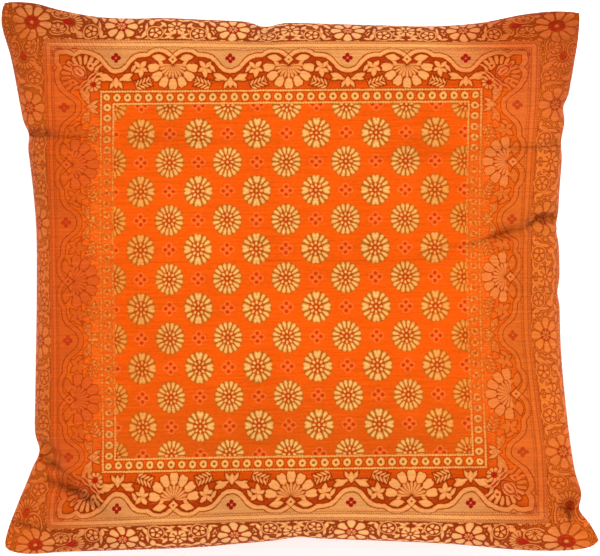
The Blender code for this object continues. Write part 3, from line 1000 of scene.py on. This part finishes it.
def weaveBrocade():
    cloth = ClothNodes("brocadeCloth")
    look, size, thread = brocadeLook, borderRepeat, threadLook
    woven = cloth.node("ShaderNodeUVMap", dict(uv_map="flatCloth"), ())
    place = cloth.stretch(woven, 1000, 1000)        # in millimetres
    uneven = cloth.vector("SUBTRACT", cloth.noise(place, look["unevenAt"], 1.0, output=1), (0.5, 0.5, 0.5))
    x, y = cloth.split(cloth.vector("MULTIPLY_ADD", uneven, (look["uneven"], look["uneven"], 0), place))
    absX, absY = cloth.size(x), cloth.size(y)
    out = cloth.most(absX, absY) - size["square"]
    along = cloth.least(absX, absY)
    past = along - size["square"]
    off = size["halfRepeat"] - cloth.fold(along, size["halfRepeat"])
    inCorner = along > size["halfRepeat"] * 3
    inField = cloth.mask(out - size["fieldEdge"])
    outside = 1 - inField
    inBand = cloth.mask(size["twillAt"] + size["twillHalf"] - out)
    atRight = cloth.ramp(x, -look["halfAcross"], look["halfAcross"])
    # painted sheen of the gold weft, which also sets where the border's ground is rust
    sheenAndRust = sheenAndRustShare(cloth, absX, absY, out)

    flowers = fieldFlowers(cloth, x, y)
    ground = borderGround(cloth, out, inBand, atRight, sheenAndRust)
    colour = cloth.blend(outside, fieldColour(cloth, flowers, y), ground)

    # Motifs of the borders: distances to the gold, and to the dark and red marks on it
    lines, bead, hole = beadBand(cloth, along, out)
    gold, dark, red, gap, fan = borderFlowers(cloth, off, out, past, inCorner)
    twill = cloth.size(out - size["twillAt"])
    gold = cloth.least(gold, lines, bead, twill - size["twillHalf"])
    pips = cloth.size(cloth.size(twill - size["pipsAt"]) - size["pipsGap"])
    pips = cloth.length(cloth.fold(along, size["pipPitch"]), pips) - size["pip"]
    dark = cloth.least(dark, hole, pips, cloth.size(twill - size["twillLine"] - 0.15) - 0.12)
    outer, outerRed = bandFlowers(cloth, off, out, past, inCorner)
    buds = {"Vector": cloth.join(off, out), "Scale": size["budsAt"], "Randomness": size["budsUneven"]}
    buds = cloth.node("ShaderNodeTexVoronoi", dict(voronoi_dimensions="2D"), buds)
    buds = buds * size["budGrows"] - size["budFrom"]
    outer = cloth.least(outer, cloth.most(buds, size["budClear"] - outer))
    gold = cloth.least(gold, outer + (1 - inBand) * size["farOff"])
    red = cloth.least(red + inBand * size["farOff"], outerRed + (1 - inBand) * size["farOff"])

    # The dull gold of the sides shows only here and there
    speck = cloth.ramp(cloth.noise(place, look["speckAt"], 4.0, 0.7), look["speckFrom"], look["speckTo"])
    nearBeads = cloth.ramp(out, look["mottleTo"], look["mottleFull"])
    mottled = nearBeads * (1 - sheenAndRust) * (1 - cloth.mask(fan - 0.9, 0.4))
    broken = 1 - mottled * (1 - speck) * look["mottleHides"]
    byBeads = cloth.mask(out - 2.0, 1.0)
    rust = cloth.blend(sheenAndRust, look["dullRust"], look["borderRust"])
    halo = cloth.mask(gold - look["outline"] * 0.7 - sheenAndRust * (look["outline"] * 0.3), 0.5)
    halo = halo * outside * broken * (sheenAndRust * look["outlineBright"] + look["outlineDull"])
    halo = halo * (1 - byBeads * look["outlineByBeads"])
    colour = cloth.blend(mottled * speck * outside * look["speckShows"], colour, look["dullSpeck"])
    colour = cloth.blend(halo, colour, rust)

    inFan = cloth.mask(fan - 0.2, 0.5)
    sides = ("dullGold", "dullFan", "bandFill")     # each goes from its left to its right colour
    dullGold, dullFan, bandFill = (cloth.blend(atRight, *look[part]) for part in sides)
    dullGold = cloth.blend(inFan, dullGold, dullFan)
    dullGold = cloth.blend(speck * nearBeads * (1 - inFan), dullGold, look["dullSpeck"])
    dullGold = cloth.blend(inBand, dullGold, bandFill)
    # gold with its painted sheen, along the top and bottom
    sheenGold = cloth.blend(inBand, look["borderGold"], look["bandGold"])
    sheenGold = cloth.blend(byBeads, sheenGold, look["beadGold"])
    goldColour = cloth.blend(sheenAndRust, dullGold, sheenGold)
    # gold duller round the corners, partly its weave and partly painted shade
    cornerDullAndShade = 0
    for at, reach, strength in look["cornerDullAndShade"]:
        near = cloth.ramp(cloth.length(x - at[0], y - at[1]), reach, reach * 0.375)
        cornerDullAndShade = near * strength + cornerDullAndShade
    goldColour = cloth.blend(cornerDullAndShade, goldColour, look["cornerGold"])
    aside = cloth.ramp(absX, look["paleFrom"], look["paleTo"])
    goldColour = cloth.blend(inField, goldColour, cloth.blend(aside, look["gold"], look["goldAside"]))
    nearest = gold + (flowers["gold"] - gold) * inField
    # painted relief shade: the gold darker at its motifs' edges, where it has its painted sheen
    edges = (1 - cloth.mask(nearest + 0.55, 0.6)) * (1 - (1 - sheenAndRust) * outside)
    goldColour = cloth.blend(edges * look["edgeShadeShare"], goldColour, look["petalEdgeShade"])
    goldShare = cloth.mask(gold, 0.35) * broken * outside + cloth.mask(flowers["gold"], 0.4) * inField
    colour = cloth.blend(goldShare, colour, goldColour)
    colour = cloth.blend(cloth.mask(dark, 0.4) * outside * broken * 0.85, colour, rust)
    colour = cloth.blend(cloth.mask(red, 0.4) * outside * (sheenAndRust * 0.35 + 0.65), colour, look["red"])

    # Threads: a slanting twill in the gold and fine ribs in the ground
    slant = cloth.threads((x + y) * 0.707, thread["slant"])
    ribs = cloth.threads(y, thread["rib"])
    coarse = cloth.threads(x * 0.8 + y * 0.6, thread["coarse"])
    inTwill = cloth.mask(twill - size["twillHalf"], 0.5)
    plain = cloth.mask(size["vineHalf"] + 0.4 - gap, 0.4) * cloth.mask(out - size["plainTo"], 0.4) * outside
    ridge = cloth.mask(twill - size["twillLine"], 0.4)
    tone = (slant * 0.5 + coarse * (1 - outside * 0.4)) * goldShare * (sheenAndRust * 0.7 + 0.3) * thread["inGold"]
    tone = tone + ribs * (1 - goldShare) * thread["inGround"] - fieldStreaksAndShade(cloth, flowers, y) * inField
    band = inTwill * ((coarse + ridge) * thread["inTwill"] - thread["twillDarker"])
    tone = tone + (band - plain * thread["plainDarker"]) * (sheenAndRust * 0.75 + 0.25)
    lowest = cloth.ramp(y, thread["lowestFrom"], thread["lowestTo"])
    tone = tone - inBand * ((out - 36) * thread["bandDarker"] - lowest * thread["lowestLighter"])
    slub = cloth.noise(cloth.stretch(woven, 30, 700), 1.0, 3.0) - 0.5
    grain = cloth.noise(cloth.stretch(woven, 350, 900), 1.0, 2.0) - 0.5
    cloudy = cloth.noise(woven, 14.0, 4.0) - 0.5
    tone = 1 + tone + slub * thread["slub"] + grain * thread["grain"] + cloudy * thread["cloudy"]
    # painted shade towards the corner tips
    tone = tone - cloth.ramp(absX + absY, thread["tipsFrom"], thread["tipsTo"]) * thread["tipsShade"]
    # painted shade in the creases
    fold = cloth.leaves(cloth.join(x, y), look["folds"], 0.0)
    # painted shade: darker towards the top, and round the creases
    tone = tone - y * thread["upShade"] - cloth.mask(fold - 3, 8.0) * look["foldShadeAround"]
    tone = tone - cloth.mask(fold, look["foldSoft"]) * look["foldShade"]
    bump = {"Strength": 0.6, "Distance": 1.0, "Height": (slant + ribs) * thread["height"]}
    return cloth.finish({
        "Base Color": cloth.shade(colour, tone),
        "Roughness": 0.6 - goldShare * 0.12 + slub * 0.1,
        "Normal": cloth.node("ShaderNodeBump", {}, bump),
        "Sheen Weight": 0.1, "Sheen Roughness": 0.35, "Sheen Tint": look["field"],
        "Specular Tint": look["gold"], "IOR": 1.12,
    })


silkLook = dict(
    colour=screenColour(232, 92, 18),
    slub=0.45, grain=0.25, ribs=0.1, worn=0.3,      # handling dulls it here and there
    height=0.0002, rough=0.5, metallic=0.15, reflects=1.2,
)


def weaveSilk():
    cloth, look = ClothNodes("silkCloth"), silkLook
    woven = cloth.node("ShaderNodeUVMap", dict(uv_map="flatCloth"), ())
    x, y = cloth.split(cloth.stretch(woven, 1000, 1000))
    slub = cloth.noise(cloth.stretch(woven, 25, 600), 1.0, 4.0) - 0.5
    grain = cloth.noise(cloth.stretch(woven, 700, 300), 1.0, 2.0) - 0.5
    ribs = cloth.threads(y, threadLook["rib"])
    worn = cloth.noise(woven, 9.0, 4.0) - 0.5
    tone = 1 + slub * look["slub"] + grain * look["grain"] + ribs * look["ribs"] + worn * look["worn"]
    bump = {"Strength": 0.6, "Distance": 1.0, "Height": (ribs * 0.3 + slub) * look["height"]}
    return cloth.finish({
        "Base Color": cloth.shade(look["colour"], tone),
        "Roughness": look["rough"] + slub * 0.2 + worn * 0.2,
        "Normal": cloth.node("ShaderNodeBump", {}, bump),
        "Metallic": look["metallic"], "Specular Tint": brocadeLook["gold"], "IOR": look["reflects"],
    })


frontPanel.data.materials.append(weaveBrocade())
backPanel.data.materials.append(weaveSilk())
print("cloth woven")


# Stitches of the seam, in metres: each bridges the two panels' edges
stitching = {
    "Stitch Spacing": 0.0031, "Stitch Length": 0.0011, "Thread Radius": 0.00013, "Bulge": 0.00006,
    "Slant": math.radians(24), "Seed": 7,
}


def threadMaterial():
    cloth = ClothNodes("silkThread")
    place = cloth.node("ShaderNodeTexCoord", {}, (), "Object")
    colour = cloth.shade(brocadeLook["dullGold"][0], cloth.noise(place, 900.0) * 0.5 + 0.75)
    return cloth.finish({"Base Color": colour, "Roughness": 0.5, "IOR": 1.3})


def stitchTree(thread):
    tree = bpy.data.node_groups.new("seamStitches", "GeometryNodeTree")
    tree.interface.new_socket("Seam", in_out="INPUT", socket_type="NodeSocketGeometry")
    for name, value in stitching.items():
        kind = "NodeSocketInt" if name == "Seed" else "NodeSocketFloat"
        tree.interface.new_socket(name, in_out="INPUT", socket_type=kind)
    tree.interface.new_socket("Stitches", in_out="OUTPUT", socket_type="NodeSocketGeometry")

    def node(kind, settings, inputs):
        return addNode(tree, kind, settings, inputs).outputs[0]

    given = tree.nodes.new("NodeGroupInput").outputs
    half = node("ShaderNodeMath", dict(operation="DIVIDE"), (given["Stitch Length"], 2.0))
    lean = node("ShaderNodeMath", dict(operation="TANGENT"), (given["Slant"],))
    lean = node("ShaderNodeMath", dict(operation="MULTIPLY"), (lean, half))
    top = node("ShaderNodeCombineXYZ", {}, (lean, 0.0, half))
    low = node("ShaderNodeVectorMath", dict(operation="SCALE"), {0: top, "Scale": -1.0})
    outward = node("ShaderNodeMath", dict(operation="MULTIPLY"), (given["Bulge"], -2.0))
    middle = node("ShaderNodeCombineXYZ", {}, (0.0, outward))
    arc = {"Resolution": 4, "Start": low, "Middle": middle, "End": top}
    arc = node("GeometryNodeCurveQuadraticBezier", {}, arc)
    ring = node("GeometryNodeCurvePrimitiveCircle", {}, {"Resolution": 6, "Radius": given["Thread Radius"]})
    stitch = node("GeometryNodeCurveToMesh", {}, {"Curve": arc, "Profile Curve": ring, "Fill Caps": True})

    line = node("GeometryNodeMeshToCurve", {}, {"Mesh": given["Seam"]})
    places = {"Curve": line, "Length": given["Stitch Spacing"]}
    places = node("GeometryNodeResampleCurve", dict(mode="LENGTH"), places)
    tangent = node("GeometryNodeInputTangent", {}, {})
    facing = node("FunctionNodeAlignRotationToVector", dict(axis="X", pivot_axis="Z"), {"Vector": tangent})
    chance = {0: (0.85, 0.7, 0.85), 1: (1.15, 1.2, 1.1), "Seed": given["Seed"]}
    chance = node("FunctionNodeRandomValue", dict(data_type="FLOAT_VECTOR"), chance)
    laid = {"Points": places, "Instance": stitch, "Rotation": facing, "Scale": chance}
    laid = node("GeometryNodeInstanceOnPoints", {}, laid)
    real = node("GeometryNodeRealizeInstances", {}, {"Geometry": laid})
    sewn = node("GeometryNodeSetMaterial", {}, {"Geometry": real, "Material": thread})
    addNode(tree, "NodeGroupOutput", {}, (sewn,))
    return tree


def sewSeam():                  # stitches all round, along the middle between the panels
    seam = np.concatenate([front[:-1, 0], front[-1, :-1], front[:0:-1, -1], front[0, :0:-1]])
    seam[:, 2] -= coverForm["seamGap"] / 2 + coverForm["panelEdge"]
    number = np.arange(len(seam))
    mesh = bpy.data.meshes.new("seamLine")
    mesh.from_pydata(seam.tolist(), np.stack([number, np.roll(number, -1)], -1).tolist(), [])
    stitches = bpy.data.objects.new("seamStitches", mesh)
    bpy.context.scene.collection.objects.link(stitches)
    thread = threadMaterial()
    sewing = stitches.modifiers.new("sewing", "NODES")
    sewing.node_group = stitchTree(thread)
    for item in sewing.node_group.interface.items_tree:
        if item.in_out == "INPUT" and item.name in stitching:
            sewing[item.identifier] = stitching[item.name]
    sewn = bpy.data.meshes.new_from_object(stitches.evaluated_get(bpy.context.evaluated_depsgraph_get()))
    stitches.modifiers.clear()
    stitches.data = sewn
    bpy.data.meshes.remove(mesh)
    sewn.name = "seamStitches"
    sewn.shade_smooth()
    return stitches


seamStitches = sewSeam()
print("seam sewn:", len(seamStitches.data.polygons), "faces")


studio = dict(
    above=2.0,             # camera over the seam
    wide=0.42,             # seen across the frame at the seam's level
    aside=(0.00035, -0.00035),
    filmWidth=36.0,
    floor=3.0, floorAt=-0.0005, floorColour=(0.95, 0.95, 0.95, 1), floorRough=0.9,
    floorGlow=0.22,        # a light table
    worldLight=1.19,
    lamps=[
        dict(name="softboxOverhead", place=(0.1, 0.9, 1.7), size=1.5, power=33),
        dict(name="softboxLeft", place=(-1.6, 0.3, 0.9), size=0.9, power=6.2),
    ],
)


def layFloor():
    mesh = bpy.data.meshes.new("floor")
    shape = bmesh.new()
    bmesh.ops.create_grid(shape, x_segments=1, y_segments=1, size=studio["floor"])
    shape.to_mesh(mesh)
    shape.free()
    floor = bpy.data.objects.new("floor", mesh)
    floor.location.z = studio["floorAt"]
    bpy.context.scene.collection.objects.link(floor)
    mesh.materials.append(ClothNodes("paleFloor").finish({
        "Base Color": studio["floorColour"], "Roughness": studio["floorRough"],
        "Emission Color": (1, 1, 1, 1), "Emission Strength": studio["floorGlow"],
    }))


def makeStudio():
    scene = bpy.context.scene
    camera = bpy.data.objects.new("camera", bpy.data.cameras.new("camera"))
    camera.location = (*studio["aside"], coverForm["seamHeight"] + studio["above"])
    camera.data.sensor_fit = "HORIZONTAL"
    camera.data.sensor_width = studio["filmWidth"]
    camera.data.lens = studio["filmWidth"] * studio["above"] / studio["wide"]
    scene.collection.objects.link(camera)
    scene.camera = camera
    layFloor()

    scene.world = bpy.data.worlds.new("studio")
    scene.world.use_nodes = True
    sky = {"Color": (1, 1, 1, 1), "Strength": studio["worldLight"]}
    fillInputs(scene.world.node_tree, scene.world.node_tree.nodes["Background"], sky)
    for lamp in studio["lamps"]:
        light = bpy.data.lights.new(lamp["name"], "AREA")
        light.size, light.energy = lamp["size"], lamp["power"]
        stand = bpy.data.objects.new(lamp["name"], light)
        stand.location = lamp["place"]
        x, y, z = -np.array(lamp["place"])      # towards the cushion
        stand.rotation_euler = (math.acos(-z / np.linalg.norm(lamp["place"])), 0, math.atan2(x, -y))
        scene.collection.objects.link(stand)
    scene.view_settings.view_transform = "Standard"
    print("studio lit:", len(studio["lamps"]), "lamps")


makeStudio()

panels = ((frontPanel, "front_panel", "brocade"), (backPanel, "back_panel", "plain_silk"))
for piece, node, slotName in panels:
    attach(piece, "root")
    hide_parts(node)
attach(seamStitches, "root")
